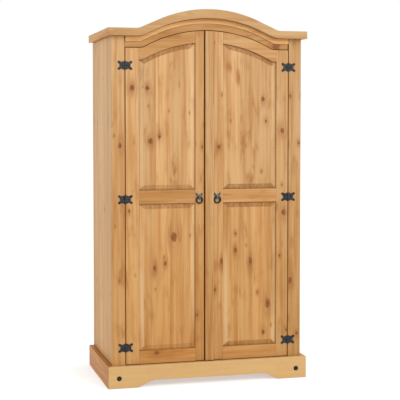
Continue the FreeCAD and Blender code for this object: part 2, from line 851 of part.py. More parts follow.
def straight_rail(name, z0, z1, grooves, mirror):
    inner, outer = sight_edges(mirror)
    body = front_piece(name, rectangle(f"-{outer}", f"-{inner}", z0, z1), "front",
                       "door_thickness", mirror)
    x0, x1 = f"-{outer} - overshoot", f"-{inner} + overshoot"
    if "top" in grooves:
        groove(body, name + "_top_groove", x0, x1, f"{z1} - groove_depth", f"{z1} + overshoot", mirror)
    if "bottom" in grooves:
        groove(body, name + "_bottom_groove", x0, x1, f"{z0} - overshoot", f"{z0} + groove_depth",
               mirror)
    low = f"{z0} + groove_depth" if "bottom" in grooves else z0
    high = f"{z1} - groove_depth" if "top" in grooves else z1
    rail_tenons(body, name, (low, low), (high, high), mirror)
    return body


def top_rail(name, mirror):
    """The arched rail: its groove follows the same curve."""
    inner, outer = sight_edges(mirror)
    upper = door_curve(inner, outer)
    lower = door_curve(inner, outer, "top_rail_height")
    body = front_piece(name, lower + backwards(upper), "front", "door_thickness", mirror)
    groove_top = door_curve(f"{inner} - overshoot", f"{outer} + overshoot",
                            "top_rail_height - groove_depth")
    groove_low = "door_wing_z - top_rail_height - groove_depth"
    groove_bottom = [(f"-{outer} - overshoot", groove_low), (f"-{inner} + overshoot", groove_low)]
    sketch = outline(body, name + "_groove", "XZ_Plane", "-(front + groove_front)",
                     groove_bottom + backwards(groove_top), mirror)
    pocket(body, sketch, "groove_width")
    low_left = "door_wing_z - top_rail_height + groove_depth"
    low_right = crown_height(inner, "top_rail_height - groove_depth")
    high_right = crown_height(f"{inner} - tongue_depth", "tenon_drop")
    rail_tenons(body, name, (low_left, low_right), ("door_wing_z", high_right), mirror)
    return body


def panel(name, bottom, top, mirror):
    """A raised and fielded panel: a tongue all round, a bevel and a slightly stepped field.

    top gives the upper edge at a distance inside the opening, as a curve from left to right.
    """
    inner, outer = sight_edges(mirror)

    def edge(inset, raised=False):
        left = f"-({outer} - ({inset}))"
        right = f"-({inner} + ({inset}))"
        base = f"{bottom} + ({inset})"
        return [(left, base), (right, base)] + backwards(top(inset, left, right, raised))

    body = new_body(name)
    tongue = outline(body, name + "_tongue", "XZ_Plane", "-(front + groove_front + tongue_fit)",
                     edge("-tongue_depth"), mirror)
    pad(body, tongue, "groove_width - 2 * tongue_fit")
    low = outline(body, name + "_bevel_foot", "XZ_Plane", "-(front + groove_front + tongue_fit)",
                  edge("bevel_foot"), mirror)
    high = outline(body, name + "_bevel_top", "XZ_Plane", "-(front + bevel_top)",
                   edge("bevel_width", raised=True), mirror)
    loft(body, low, high)
    field = outline(body, name + "_field", "XZ_Plane", "-(front + field_recess)",
                    edge("bevel_width + field_step", raised=True), mirror)
    pad(body, field, "bevel_top - field_recess + overshoot")
    return body


def upper_panel(name, mirror):
    def top(inset, left, right, raised):
        drop = f"door_top_gap + top_rail_height + ({inset})"
        start = {"valley_start": left} if raised else {"wing_start": left}
        return ogee("opening", right, drop=drop, **start)

    return panel(name, "mid_rail_top_z", top, mirror)


def lower_panel(name, mirror):
    def top(inset, left, right, _raised):
        height = f"mid_rail_bottom_z - ({inset})"
        return [(left, height), (right, height)]

    return panel(name, "bottom_rail_top_z", top, mirror)


def door(side, hand, meeting_edge):
    """One door's wood; the outline is drawn for the left door and mirrored for the right one."""
    mirror = 1 if side == LEFT else -1
    inner, outer = sight_edges(mirror)
    keep(stile(f"{hand}_door_hinge_stile", "door_outer", outer, True, mirror),
         f"{hand}_door_hinge_stile")
    keep(stile(f"{hand}_door_meeting_stile", inner, meeting_edge, False, mirror),
         f"{hand}_door_meeting_stile")
    keep(top_rail(f"{hand}_door_top_rail", mirror), f"{hand}_door_top_rail")
    keep(straight_rail(f"{hand}_door_mid_rail", "mid_rail_bottom_z", "mid_rail_top_z",
                       ("top", "bottom"), mirror), f"{hand}_door_mid_rail")
    keep(straight_rail(f"{hand}_door_bottom_rail", "door_bottom_z", "bottom_rail_top_z", ("top",),
                       mirror), f"{hand}_door_bottom_rail")
    keep(upper_panel(f"{hand}_door_upper_panel", mirror), f"{hand}_door_upper_panel")
    keep(lower_panel(f"{hand}_door_lower_panel", mirror), f"{hand}_door_lower_panel")


def closing_strip():
    """The moulding on the right door's meeting edge, standing proud of the stile."""
    start, end = "right_door_edge", "right_door_edge + closing_strip_width"
    points = [(start, "door_bottom_z"), (end, "door_bottom_z"),
              (end, crown_height(end), "opening_crown_radius", 1), (start, crown_height(start))]
    keep(front_piece("closing_strip", points, "front - closing_strip_proud", "closing_strip_proud"),
         "closing_strip")


def strike_plate(side, hand):
    x = (f"{side} * catch_position - strike_width / 2", f"{side} * catch_position + strike_width / 2")
    y = ("door_back", "door_back + strike_thickness")
    z = ("top_inside_z - strike_height", "top_inside_z")
    keep(board(f"{hand}_strike_plate", x, y, z), f"{hand}_strike_plate")


# ---- ring pulls -------------------------------------------------------------------------------


def handle_plate(side, hand):
    """The butterfly back plate and the eye that the ring hangs in."""
    name = f"{hand}_handle_plate"
    body = new_body(name)
    ear = (("ear_top", "ear_top_height"), ("ear_end", "ear_end_height"))
    half = butterfly("0", "plate_half_height", ("plate_shoulder", "plate_shoulder_height"),
                     "plate_body_radius", ear, "ear_tip_radius",
                     ("plate_waist", "plate_waist_height"), "plate_waist_radius")
    sketch = outline(body, name + "_outline", "XZ_Plane", "leaf_thickness", half)
    plate = pad(body, sketch, "leaf_thickness")
    doc.recompute()
    mirrored = body.newObject("PartDesign::Mirrored", name + "_other_half")
    mirrored.Originals = [plate]
    mirrored.MirrorPlane = (origin_plane(body, "YZ_Plane"), [""])
    body.Tip = mirrored
    eye_foot = rectangle("-eye_length / 2", "eye_length / 2", "-eye_foot_height / 2",
                         "eye_foot_height / 2")
    foot = outline(body, name + "_eye_foot", "XZ_Plane", "eye_offset", eye_foot)
    pad(body, foot, "eye_offset - leaf_thickness / 2")
    eye = circles(body, name + "_eye", "YZ_Plane", "-eye_length / 2", [("-eye_offset", "0")],
                  "eye_radius")
    pad(body, eye, "eye_length", reverse=False)
    bore = circles(body, name + "_bore", "YZ_Plane", "0", [("-eye_offset", "0")],
                   "ring_pin_radius + ring_pin_fit")
    pocket(body, bore, both_ways=True)
    holes = circles(body, name + "_holes", "XZ_Plane", "0",
                    [("-plate_screw", "plate_screw_height"), ("plate_screw", "plate_screw_height")],
                    "screw_shank_radius + screw_hole_fit")
    pocket(body, holes, both_ways=True)
    place(body, f"{side} * handle_position", "front", "handle_z")
    keep(body, name)


def ring(side, hand):
    """A ring of round wire, open at the top, closed by the thinner pin that runs in the eye."""
    name = f"{hand}_ring"
    x = f"{side} * handle_position"
    drop = "ring_radius * cos(ring_open_angle)"
    hoop = doc.addObject("Part::Torus", name + "_hoop")
    open_end = Rotation(Vector(0, 0, 1), QUARTER_TURN + value("ring_open_angle"))
    hoop.Placement.Rotation = ALONG_MINUS_Y * open_end
    bind(hoop, Radius1="ring_radius", Radius2="ring_wire_radius", Angle3="360 - 2 * ring_open_angle")
    place(hoop, x, "ring_axis_y", f"handle_z - {drop}")
    pin = rod(name + "_pin", "ring_pin_radius", "2 * ring_pin_half_length",
              f"{x} - ring_pin_half_length", "ring_axis_y", "handle_z", ALONG_X)
    keep(fuse(name, [hoop, pin]), name)


def door_screws(side, hand):
    screws = leaf_screws(f"{hand}_door_screw", side, -side)
    for index, direction in enumerate((-1, 1)):
        x = f"{side} * handle_position + {direction} * plate_screw"
        screws.append(screw(f"{hand}_plate_screw_{index}", x, "handle_z + plate_screw_height",
                            "plate_screw_length"))
    keep(group(f"{hand}_door_screws", screws), f"{hand}_door_screws")


# ---- whole object -----------------------------------------------------------------------------


def check_document():
    """Stops on any failed feature or bad sub-part before a file is written."""
    failed = [thing.Name for thing in doc.Objects if {"Invalid", "Error"} & set(thing.State)]
    if failed:
        raise RuntimeError(f"failed objects: {failed}")
    for thing in parts:
        if thing.Shape.isNull() or not thing.Shape.isValid() or not thing.Shape.Solids:
            raise RuntimeError(f"bad shape: {thing.Label}")


def write_parts():
    os.makedirs("parts", exist_ok=True)
    for thing in parts:
        thing.Shape.exportStep(f"parts/{thing.Label}.step")


def main():
    fill_sheet()
    carcass_boards()
    floor_panel()
    shelf_and_rail()
    header()
    cornice()
    plinth()
    catches()
    hinges()
    frame_screws()
    for side, hand, edge in ((LEFT, "left", "left_door_edge"), (RIGHT, "right", "right_door_edge")):
        door(side, hand, edge)
        strike_plate(side, hand)
        handle_plate(side, hand)
        door_screws(side, hand)
        ring(side, hand)
    closing_strip()
    doc.recompute()
    check_document()
    write_parts()
    print(f"{len(parts)} sub-parts written")


main()
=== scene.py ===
"""A waxed pine wardrobe with two framed doors, an arched cornice and black iron fittings."""

import math

import bpy
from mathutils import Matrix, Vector


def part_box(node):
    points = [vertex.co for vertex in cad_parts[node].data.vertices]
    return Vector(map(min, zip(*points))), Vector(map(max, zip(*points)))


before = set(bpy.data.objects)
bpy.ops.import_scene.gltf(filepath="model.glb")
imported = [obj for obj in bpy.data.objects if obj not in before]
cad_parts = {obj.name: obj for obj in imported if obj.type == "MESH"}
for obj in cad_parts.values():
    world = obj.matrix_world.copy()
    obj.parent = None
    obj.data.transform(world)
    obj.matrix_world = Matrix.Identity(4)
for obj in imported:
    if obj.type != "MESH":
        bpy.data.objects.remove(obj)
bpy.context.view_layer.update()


# ---------------------------------------------------------------- camera

# The camera stands in front of the wardrobe, to its left, and looks a little down.
CAMERA_PLACE = (-1.4907, -5.6773, 1.3327)
CAMERA_TURN = 14.96
CAMERA_TILT = 2.5
LENS_MM = 100.07
SENSOR_MM = 36.0
SHIFT_DOWN = 0.0774


def make_camera():
    data = bpy.data.cameras.new("camera")
    data.lens = LENS_MM
    data.sensor_width = SENSOR_MM
    data.shift_y = -SHIFT_DOWN
    camera = bpy.data.objects.new("camera", data)
    camera.location = CAMERA_PLACE
    camera.rotation_euler = (
        math.radians(90.0 - CAMERA_TILT),
        0.0,
        math.radians(-CAMERA_TURN),
    )
    bpy.context.collection.objects.link(camera)
    bpy.context.scene.camera = camera


# ---------------------------------------------------------------- floor and light

WHITE = (1.0, 1.0, 1.0, 1.0)
FLOOR_GREY = (0.60, 0.60, 0.60, 1.0)
FLOOR_HALF = 30.0
FLOOR_ROUGHNESS = 0.9
FLOOR_GLOW = 0.5
WORLD_STRENGTH = 1.0
KEY_PLACE = (1.4, -4.4, 3.6)
KEY_TARGET = (0.0, 0.0, 1.3)
KEY_SIZE = 2.5
KEY_WATTS = 120.0


def make_floor():
    mesh = bpy.data.meshes.new("floor")
    h = FLOOR_HALF
    mesh.from_pydata(
        [(-h, -h, 0.0), (h, -h, 0.0), (h, h, 0.0), (-h, h, 0.0)], [], [(0, 1, 2, 3)]
    )
    floor = bpy.data.objects.new("floor", mesh)
    bpy.context.collection.objects.link(floor)
    g = Graph("studio_floor")
    g.shade(
        Base_Color=FLOOR_GREY,
        Emission_Color=WHITE,
        Emission_Strength=FLOOR_GLOW,
        Roughness=FLOOR_ROUGHNESS,
        Specular_IOR_Level=0.0,
    )
    mesh.materials.append(g.material)


def make_world():
    world = bpy.data.worlds.new("studio")
    world.use_nodes = True
    background = world.node_tree.nodes["Background"]
    background.inputs["Color"].default_value = WHITE
    background.inputs["Strength"].default_value = WORLD_STRENGTH
    bpy.context.scene.world = world
    view = bpy.context.scene.view_settings
    view.view_transform = "Standard"
    view.look = "None"


def make_key_light():
    data = bpy.data.lights.new("key", "AREA")
    data.shape = "SQUARE"
    data.size = KEY_SIZE
    data.energy = KEY_WATTS
    light = bpy.data.objects.new("key", data)
    light.location = KEY_PLACE
    way = Vector(KEY_TARGET) - Vector(KEY_PLACE)
    light.rotation_euler = way.to_track_quat("-Z", "Y").to_euler()
    bpy.context.collection.objects.link(light)


# ---------------------------------------------------------------- node trees


class Graph:
    """One material's node tree, with a short call for each kind of node used here."""

    def __init__(self, name):
        self.material = bpy.data.materials.new(name)
        self.material.use_nodes = True
        self.tree = self.material.node_tree
        self.shader = self.tree.nodes["Principled BSDF"]

    def node(self, kind, **settings):
        made = self.tree.nodes.new(kind)
        for key, setting in settings.items():
            setattr(made, key, setting)
        return made

    def give(self, socket, source):
        """Links a socket to another node's output, or sets it to a plain value."""
        if isinstance(source, bpy.types.NodeSocket):
            self.tree.links.new(source, socket)
        else:
            socket.default_value = source

    def math(self, operation, a, b=0.0):
        made = self.node("ShaderNodeMath", operation=operation)
        for socket, source in zip(made.inputs, (a, b)):
            self.give(socket, source)
        return made.outputs[0]

    def add(self, a, b):
        return self.math("ADD", a, b)

    def take(self, a, b):
        return self.math("SUBTRACT", a, b)

    def times(self, a, b):
        return self.math("MULTIPLY", a, b)

    def spread(self, source, reach):
        """A number from 0 to 1, made to swing about zero by reach from end to end."""
        return self.times(self.take(source, 0.5), reach)

    def distance(self, a, b):
        """How far a point is from the origin, from its two coordinates."""
        return self.math("SQRT", self.add(self.times(a, a), self.times(b, b)))

    def tint(self, factor, a, b, how="MIX"):
        """A colour that goes from a to b."""
        made = self.node("ShaderNodeMix", data_type="RGBA", blend_type=how)
        self.give(made.inputs[0], factor)
        for index, source in ((6, a), (7, b)):
            colour = (*source, 1.0) if isinstance(source, tuple) else source
            self.give(made.inputs[index], colour)
        return made.outputs[2]

    def fade(self, source, start, end, low=0.0, high=1.0):
        """A soft step from low at start to high at end."""
        made = self.node("ShaderNodeMapRange", interpolation_type="SMOOTHSTEP")
        for index, given in enumerate((source, start, end, low, high)):
            self.give(made.inputs[index], given)
        return made.outputs[0]

    def point(self, x, y, z=0.0):
        made = self.node("ShaderNodeCombineXYZ")
        for socket, source in zip(made.inputs, (x, y, z)):
            self.give(socket, source)
        return made.outputs[0]

    def parts(self, vector):
        made = self.node("ShaderNodeSeparateXYZ")
        self.give(made.inputs[0], vector)
        return made.outputs

    def noise(self, vector, scale, detail=2.0, roughness=0.5):
        made = self.node("ShaderNodeTexNoise")
        for key, source in (
            ("Vector", vector),
            ("Scale", scale),
            ("Detail", detail),
            ("Roughness", roughness),
        ):
            self.give(made.inputs[key], source)
        return made.outputs["Fac"]

    def drawn_noise(self, across, along, third, often, detail=2.0, roughness=0.5):
        """Noise drawn out along the grain: often is how fast it changes across and along."""
        place = self.point(self.times(across, often[0]), self.times(along, often[1]), third)
        return self.noise(place, 1.0, detail, roughness)

    def chance(self, source):
        """Numbers from 0 to 1, three at a time, that change with every new value of source."""
        made = self.node("ShaderNodeTexWhiteNoise", noise_dimensions="1D")
        self.give(made.inputs["W"], source)
        split = self.node("ShaderNodeSeparateColor")
        self.give(split.inputs[0], made.outputs["Color"])
        return split.outputs

    def object_place(self):
        """The point on the object, and the way its surface faces there."""
        made = self.node("ShaderNodeTexCoord")
        return made.outputs["Object"], made.outputs["Normal"]

    def bump(self, height, distance, strength):
        made = self.node("ShaderNodeBump")
        self.give(made.inputs["Height"], height)
        made.inputs["Distance"].default_value = distance
        made.inputs["Strength"].default_value = strength
        return made.outputs[0]

    def shade(self, **given):
        """Sets the shader's sockets; an underscore stands for a space."""
        for key, source in given.items():
            self.give(self.shader.inputs[key.replace("_", " ")], source)


# ---------------------------------------------------------------- pine

PALE_RING = (0.520, 0.328, 0.156)
DARK_RING = (0.310, 0.142, 0.047)
HONEY = (0.420, 0.220, 0.083)
AMBER = (0.360, 0.160, 0.055)
CREAM = (0.680, 0.485, 0.262)
WHITEWOOD = (0.520, 0.355, 0.170)
FLAME = (0.270, 0.105, 0.028)
END_GRAIN = (0.185, 0.064, 0.014)
KNOT_WOOD = (0.270, 0.092, 0.030)
KNOT_HEART = (0.075, 0.025, 0.009)
# painted shade laid in corners, in joints and beside the door gaps
CORNER_SHADE = (0.185, 0.058, 0.006)
# painted shade: the wood's colour is multiplied by this towards the floor
LOW_SHADE_TINT = (0.93, 0.84, 0.66)

# how often each pattern changes in a metre, across the grain and along it
WAVE = (9.0, 1.6)
SWEEP = (2.5, 0.9)
RING_JITTER = (60.0, 3.0)
STREAK = (60.0, 1.9)
BAND = (17.0, 1.3)
MARK = (42.0, 8.0)
CLOUD = (15.0, 6.0)
FIBRE = (900.0, 14.0)
# the same for the end grain's pores: across the board and through its thickness, then along it
PORE = (120.0, 160.0)
PORE_ALONG = 60.0
KNOT_BLUR = 210.0
KNOT_PATCH = 95.0

# lengths in metres: a log's heart lies LOG_DEPTH behind a face, and the wardrobe's front
# stands FACE_PLANE before the origin
RING_GAP = 0.0040
LOG_DEPTH = 0.055
FACE_PLANE = 0.26
WAVE_REACH = 0.024
SWEEP_REACH = 0.060
HEART_SPREAD = 0.15
HEART_SINK = 0.05
KNOT_CELL = (0.13, 0.42)
SMALLEST_KNOT = 0.0008
HALO_MARGIN = 0.004
# the next two: how far the painted shade in corners and beside the door gaps reaches
CORNER_REACH = 0.006
GAP_SHADE_REACH = (0.0034, 0.0012)
# the next two: the heights over which the painted shade towards the floor fades in
LOW_SHADE_FROM = 1.5
LOW_SHADE_TO = 0.3
GRAIN_RELIEF = 0.00035

# shares and strengths
STRIP_STEP = 13.7
TONE_SPREAD = 0.26
RING_DEPTH = 0.70
AMBER_DEPTH = 0.45
# how much a panel's side bevels turn lighter and creamier
BEVEL_CREAM = 0.38
KNOT_STRETCH = 1.27
KNOT_PULL = 0.80
HALO_SIZE = 1.9
HALO_SQUEEZE = 0.70
FAR_FROM_KNOTS = 9.0
# how much painted shade a panel's bevels that face up get
LEDGE_SHADE = 0.50
# the next three: how dark the painted shade is beside the door gaps, in a panel's corners and in a
# frame's corners
GAP_SHADE = 0.62
PANEL_SHADE = 0.60
FRAME_SHADE = 0.90


def one_knot(g, across, along, centre, height, radius, stretch=KNOT_STRETCH):
    """A branch through the board: the distance in radii, the strength of its halo, and the
    distance across."""
    da = g.take(across, centre)
    drawn_out = g.times(g.take(along, height), 1.0 / stretch)
    near = g.distance(da, drawn_out)
    long_way = g.distance(da, g.times(drawn_out, HALO_SQUEEZE))
    reach = g.math("DIVIDE", long_way, g.add(g.times(radius, HALO_SIZE), HALO_MARGIN))
    halo = g.math("EXPONENT", g.times(g.times(reach, reach), -1.0))
    return g.math("DIVIDE", near, radius), halo, da


def scattered_knots(g, across, along, seed, size):
    """Small knots strewn over the board, one at most in each cell."""
    wide, tall = KNOT_CELL
    cells = g.node("ShaderNodeTexVoronoi", feature="F1", voronoi_dimensions="2D")
    flat = g.point(
        g.add(g.math("DIVIDE", across, wide), seed * 1.37),
        g.add(g.math("DIVIDE", along, tall), seed * 2.11),
    )
    g.give(cells.inputs["Vector"], flat)
    cells.inputs["Scale"].default_value = 1.0
    here = g.parts(flat)
    spot = g.parts(cells.outputs["Position"])
    luck = g.node("ShaderNodeSeparateColor")
    g.give(luck.inputs[0], cells.outputs["Color"])
    radius = g.add(g.times(g.math("POWER", luck.outputs[0], 2.5), size), SMALLEST_KNOT)
    da = g.times(g.take(here[0], spot[0]), wide)
    dl = g.times(g.take(here[1], spot[1]), tall)
    return one_knot(g, da, dl, 0.0, 0.0, radius)


class Pine(Graph):
    """Solid pine with its grain along one axis.

    The growth rings are shells round a log's heart, so faces, edges and end grain agree.
    """

    def __init__(self, name, grain, across, seed):
        super().__init__(name)
        self.seed = seed
        self.place, normal = self.object_place()
        axes = dict(zip("XYZ", self.parts(self.place)))
        facing = dict(zip("XYZ", self.parts(normal)))
        depth = ({"X", "Y", "Z"} - {grain, across}).pop()
        self.across, self.along, self.deep = axes[across], axes[grain], axes[depth]
        self.height = axes["Z"]
        self.facing_across, self.facing_up = facing[across], facing["Z"]
        self.cut = self.fade(self.math("ABSOLUTE", facing[grain]), 0.04, 0.16)
        self.heart_depth = LOG_DEPTH + (FACE_PLANE if depth == "Y" else 0.0)

    def number_strips(self, seams, stave):
        """Numbers the strips that the board is glued up from, and draws each one's luck."""
        self.number = float(self.seed)
        for seam in seams:
            past = self.math("GREATER_THAN", self.across, seam)
            self.number = self.add(self.number, past)
        if stave:
            strip = self.math("FLOOR", self.math("DIVIDE", self.across, stave))
            self.number = self.add(strip, self.seed * STRIP_STEP)
        self.luck = self.chance(self.number)

    def find_knots(self, knots, strewn):
        """Measures from the nearest knot, and bends the grain round every knot."""
        found = [one_knot(self, self.across, self.along, *knot) for knot in knots]
        if strewn:
            found.append(scattered_knots(self, self.across, self.along, self.seed, strewn))
        self.bent = self.across
        self.from_knot = FAR_FROM_KNOTS
        self.halo = 0.0
        for far, glow, da in found:
            self.bent = self.take(self.bent, self.times(self.times(da, glow), KNOT_PULL))
            self.from_knot = self.math("MINIMUM", self.from_knot, far)
            self.halo = self.math("MAXIMUM", self.halo, glow)

    def grow_rings(self, figure):
        """The dark late wood of each growth ring."""
        wavy = self.drawn_noise(self.across, self.along, self.seed * 3.1, WAVE)
        slow = self.drawn_noise(self.across, self.along, self.seed * 7.7, SWEEP, 1.0)
        lean = self.add(self.spread(wavy, WAVE_REACH), self.spread(slow, SWEEP_REACH))
        side = self.add(self.add(self.bent, self.spread(self.luck[0], HEART_SPREAD)), lean)
        sunk = self.times(self.luck[1], HEART_SINK)
        inward = self.add(self.add(self.deep, self.heart_depth), sunk)
        jitter = self.drawn_noise(self.across, self.along, self.number, RING_JITTER)
        rings = self.math("DIVIDE", self.distance(side, inward), RING_GAP * figure)
        turn = self.math("FRACT", self.add(rings, self.times(jitter, 0.5)))
        self.late = self.times(self.math("POWER", turn, 2.2), self.fade(turn, 1.0, 0.93))

    def draw_figure(self):
        """Streaks and marks that follow the bent grain, and fine straight fibres."""
        bent, along, number = self.bent, self.along, self.number
        self.streak = self.drawn_noise(bent, along, number, STREAK, 3.0, 0.6)
        self.band = self.drawn_noise(bent, along, self.add(number, 4.0), BAND)
        self.mark = self.drawn_noise(bent, along, self.add(number, 9.0), MARK, 3.0, 0.6)
        self.cloud = self.drawn_noise(bent, along, self.add(number, 6.0), CLOUD)
        inside = self.times(self.deep, FIBRE[0])
        self.fibre = self.drawn_noise(self.across, along, inside, FIBRE)

    def clear_wood(self, tone, warmth, pale, contrast, flames, foot):
        """The colour of the wood between its knots."""
        mixed = self.add(self.times(self.streak, 0.55), self.times(self.band, 0.45))
        colour = self.tint(self.fade(mixed, 0.38, 0.62), PALE_RING, HONEY)
        amber = self.times(self.fade(self.streak, 0.52, 0.72), AMBER_DEPTH * contrast)
        colour = self.tint(amber, colour, AMBER)
        colour = self.tint(self.times(self.late, RING_DEPTH * contrast), colour, DARK_RING)
        flame = self.times(self.fade(self.cloud, 0.50, 0.72), self.fade(self.mark, 0.36, 0.62))
        colour = self.tint(self.times(flame, flames), colour, FLAME)
        if pale:
            colour = self.tint(pale, colour, WHITEWOOD)
        swing = TONE_SPREAD * contrast
        shade = self.add(tone - 0.5 * swing, self.times(self.luck[2], swing))
        shade = self.times(shade, self.fade(self.fibre, 0.3, 0.7, 0.965, 1.02))
        green = self.times(shade, 1.0 - 0.10 * warmth)
        blue = self.times(shade, 1.0 - 0.26 * warmth)
        colour = self.tint(1.0, colour, self.point(shade, green, blue), "MULTIPLY")
        # painted shade: darker and more orange towards the floor, as the light from above falls
        # off
        shaded_low = self.tint(1.0, colour, LOW_SHADE_TINT, "MULTIPLY")
        return self.tint(self.fade(self.height, LOW_SHADE_FROM, LOW_SHADE_TO, 0.0, foot), colour, shaded_low)

    def cut_faces(self, colour, end_grain, panel):
        """Darkens the end grain; a panel's side bevels turn lighter and creamier by the way they
        face, and its bevels that face up get painted shade.
        """
        strength = end_grain
        if panel:
            # the side bevels turn lighter and creamier, by the way each one faces
            tipped = self.fade(self.math("ABSOLUTE", self.facing_across), 0.04, 0.14)
            bevel = self.times(tipped, self.take(1.0, self.cut))
            cream_bevel = self.times(bevel, self.fade(self.band, 0.66, 0.34, 0.0, BEVEL_CREAM))
            colour = self.tint(cream_bevel, colour, CREAM)
            # painted shade: bevels that face up, under the rails, get more of the end grain's dark
            ledge_shade = self.fade(self.facing_up, 0.0, 0.12, 0.0, LEDGE_SHADE)
            strength = self.math("MINIMUM", self.add(ledge_shade, end_grain), 1.0)
        inside = self.times(self.along, PORE_ALONG)
        pore = self.drawn_noise(self.across, self.deep, inside, PORE, 3.0, 0.6)
        end = self.tint(self.fade(pore, 0.34, 0.68, 0.34, 0.68), colour, END_GRAIN)
        return self.tint(self.times(self.cut, strength), colour, end)

    def paint_knots(self, colour):
        """Red-brown knots with dark rims and hearts, in a halo of swirling grain."""
        blur = self.noise(self.place, KNOT_BLUR)
        patchy = self.noise(self.place, KNOT_PATCH)
        edge = self.add(self.from_knot, self.spread(blur, 1.1))
        grain = self.add(self.mark, self.times(self.late, 0.3))
        swirl = self.times(self.halo, self.fade(grain, 0.34, 0.66, 0.15, 1.0))
        colour = self.tint(self.times(swirl, 0.85), colour, FLAME)
        ripple = self.math("SINE", self.times(edge, 17.0))
        wood = self.tint(self.fade(ripple, -0.6, 0.9, 0.0, 0.45), KNOT_WOOD, KNOT_HEART)
        rim = self.times(self.fade(edge, 0.45, 0.95), self.fade(patchy, 0.42, 0.60))
        dark = self.math("MAXIMUM", rim, self.fade(edge, 0.42, 0.12))
        wood = self.tint(self.times(dark, 0.85), wood, KNOT_HEART)
        self.core = self.fade(edge, 1.20, 0.85)
        return self.tint(self.times(self.core, 0.92), colour, wood)

    def paint_corner_shade(self, colour, wax, gap):
        """Painted shade, dark brown, in corners and joints where shade falls, and beside an open
        joint.
        """
        corner = self.node("ShaderNodeAmbientOcclusion", samples=8)
        corner.inputs["Distance"].default_value = CORNER_REACH
        # wax is how dark the painted shade in corners gets
        shaded = self.fade(corner.outputs["AO"], 0.80, 0.30, 0.0, wax)
        # painted shade along a stile's edge at the door gap
        if gap is not None:
            inset = self.math("ABSOLUTE", self.take(self.across, gap))
            shaded = self.math("MAXIMUM", shaded, self.fade(inset, *GAP_SHADE_REACH, 0.0, GAP_SHADE))
        return self.tint(shaded, colour, CORNER_SHADE)

    def polish(self, colour):
        """Sets the shader: a soft wax sheen over slightly raised late wood and fibres."""
        sunk = self.times(self.core, -0.8)
        height = self.add(self.times(self.late, 0.6), self.add(self.times(self.fibre, 0.5), sunk))
        rough = self.add(0.46, self.spread(self.streak, 0.22))
        change = self.add(self.times(self.late, -0.07), self.times(self.cut, 0.22))
        self.shade(
            Base_Color=colour,
            Roughness=self.add(rough, change),
            Normal=self.bump(height, GRAIN_RELIEF, 0.55),
            Coat_Weight=0.02,
            Coat_Roughness=0.40,
            Specular_IOR_Level=0.10,
        )


def pine(name, grain, across, seed, tone=1.0, warmth=0.0, seams=(), stave=0.0, knots=(),
         strewn=0.006, pale=0.0, figure=1.0, panel=False, contrast=1.0, flames=0.6,
         end_grain=0.70, foot=1.0, gap=None):
    """One board's own pine.

    tone, warmth and pale make it lighter, more orange and whiter; contrast is how strong its
    rings and strips are, figure how wide its rings are, and flames, end_grain and foot how
    strong its brown marks, dark ends and painted shade towards the floor are. seams are glue
    lines at set places across; stave is the width of evenly glued strips. knots are listed, and
    strewn is the largest of the scattered ones. gap is the place across of an edge beside an open
    joint.
    """
    g = Pine(name, grain, across, seed)
    g.number_strips(seams, stave)
    g.find_knots(knots, strewn)
    g.grow_rings(figure)
    g.draw_figure()
    colour = g.clear_wood(tone, warmth, pale, contrast, flames, foot)
    colour = g.cut_faces(colour, end_grain, panel)
    colour = g.paint_knots(colour)
    # painted shade in corners, in joints and beside the door gaps
    colour = g.paint_corner_shade(colour, PANEL_SHADE if panel else FRAME_SHADE, gap)
    g.polish(colour)
    return g.material


# ---------------------------------------------------------------- other materials

LACQUER = (0.005, 0.005, 0.006)
THIN_LACQUER = (0.018, 0.018, 0.020)
WORN_EDGE = (0.110, 0.115, 0.125)
BARE_IRON = (0.150, 0.160, 0.175)
DULL_ZINC = (0.46, 0.47, 0.48)
BRIGHT_ZINC = (0.64, 0.65, 0.66)
DARK_PLASTIC = (0.090, 0.045, 0.022)
LIGHT_PLASTIC = (0.130, 0.068, 0.034)
BIRCH = (0.600, 0.420, 0.215)
BIRCH_LINE = (0.430, 0.255, 0.100)
BIRCH_FIBRE = (0.33, 0.20, 0.09)
PLY_FACE = (0.50, 0.33, 0.16)
PLY_GLUE = (0.30, 0.17, 0.07)
PLIES_PER_METRE = 750.0

# how often each pattern changes in a metre
DENTS = 230.0
IRON_GRIT = 900.0
IRON_BLOTCH = 120.0
SPANGLE = 130.0
PLASTIC_GRAIN = 1300.0
PLASTIC_CLOUD = 60.0

# how deep it is, in metres
DENT_RELIEF = 0.0010
FINE_RELIEF = 0.0001
PLY_RELIEF = 0.0002


def black_iron(name, wear=0.0):
    """Hammered iron under black lacquer, worn grey on the raised edges or, with wear, all over."""
    g = Graph(name)
    place, _ = g.object_place()
    dents = g.node("ShaderNodeTexVoronoi", feature="SMOOTH_F1")
    g.give(dents.inputs["Vector"], place)
    dents.inputs["Scale"].default_value = DENTS
    hammered = dents.outputs["Distance"]
    grit = g.noise(place, IRON_GRIT)
    blotch = g.noise(place, IRON_BLOTCH, 3.0)
    edge = g.node("ShaderNodeNewGeometry").outputs["Pointiness"]
    worn = g.times(g.fade(edge, 0.55, 0.66), g.fade(blotch, 0.35, 0.65, 0.3, 1.0))
    colour = g.tint(g.fade(blotch, 0.35, 0.65), LACQUER, THIN_LACQUER)
    colour = g.tint(g.times(worn, 0.40), colour, WORN_EDGE)
    if wear:
        rubbed = g.fade(blotch, 0.30, 0.60, 0.35 * wear, wear)
        colour = g.tint(rubbed, colour, BARE_IRON)
    height = g.add(hammered, g.times(grit, 0.15))
    g.shade(
        Base_Color=colour,
        Metallic=0.35,
        Roughness=g.add(0.30, g.times(blotch, 0.22)),
        Normal=g.bump(height, DENT_RELIEF, 0.9),
        Specular_IOR_Level=0.25,
    )
    return g.material


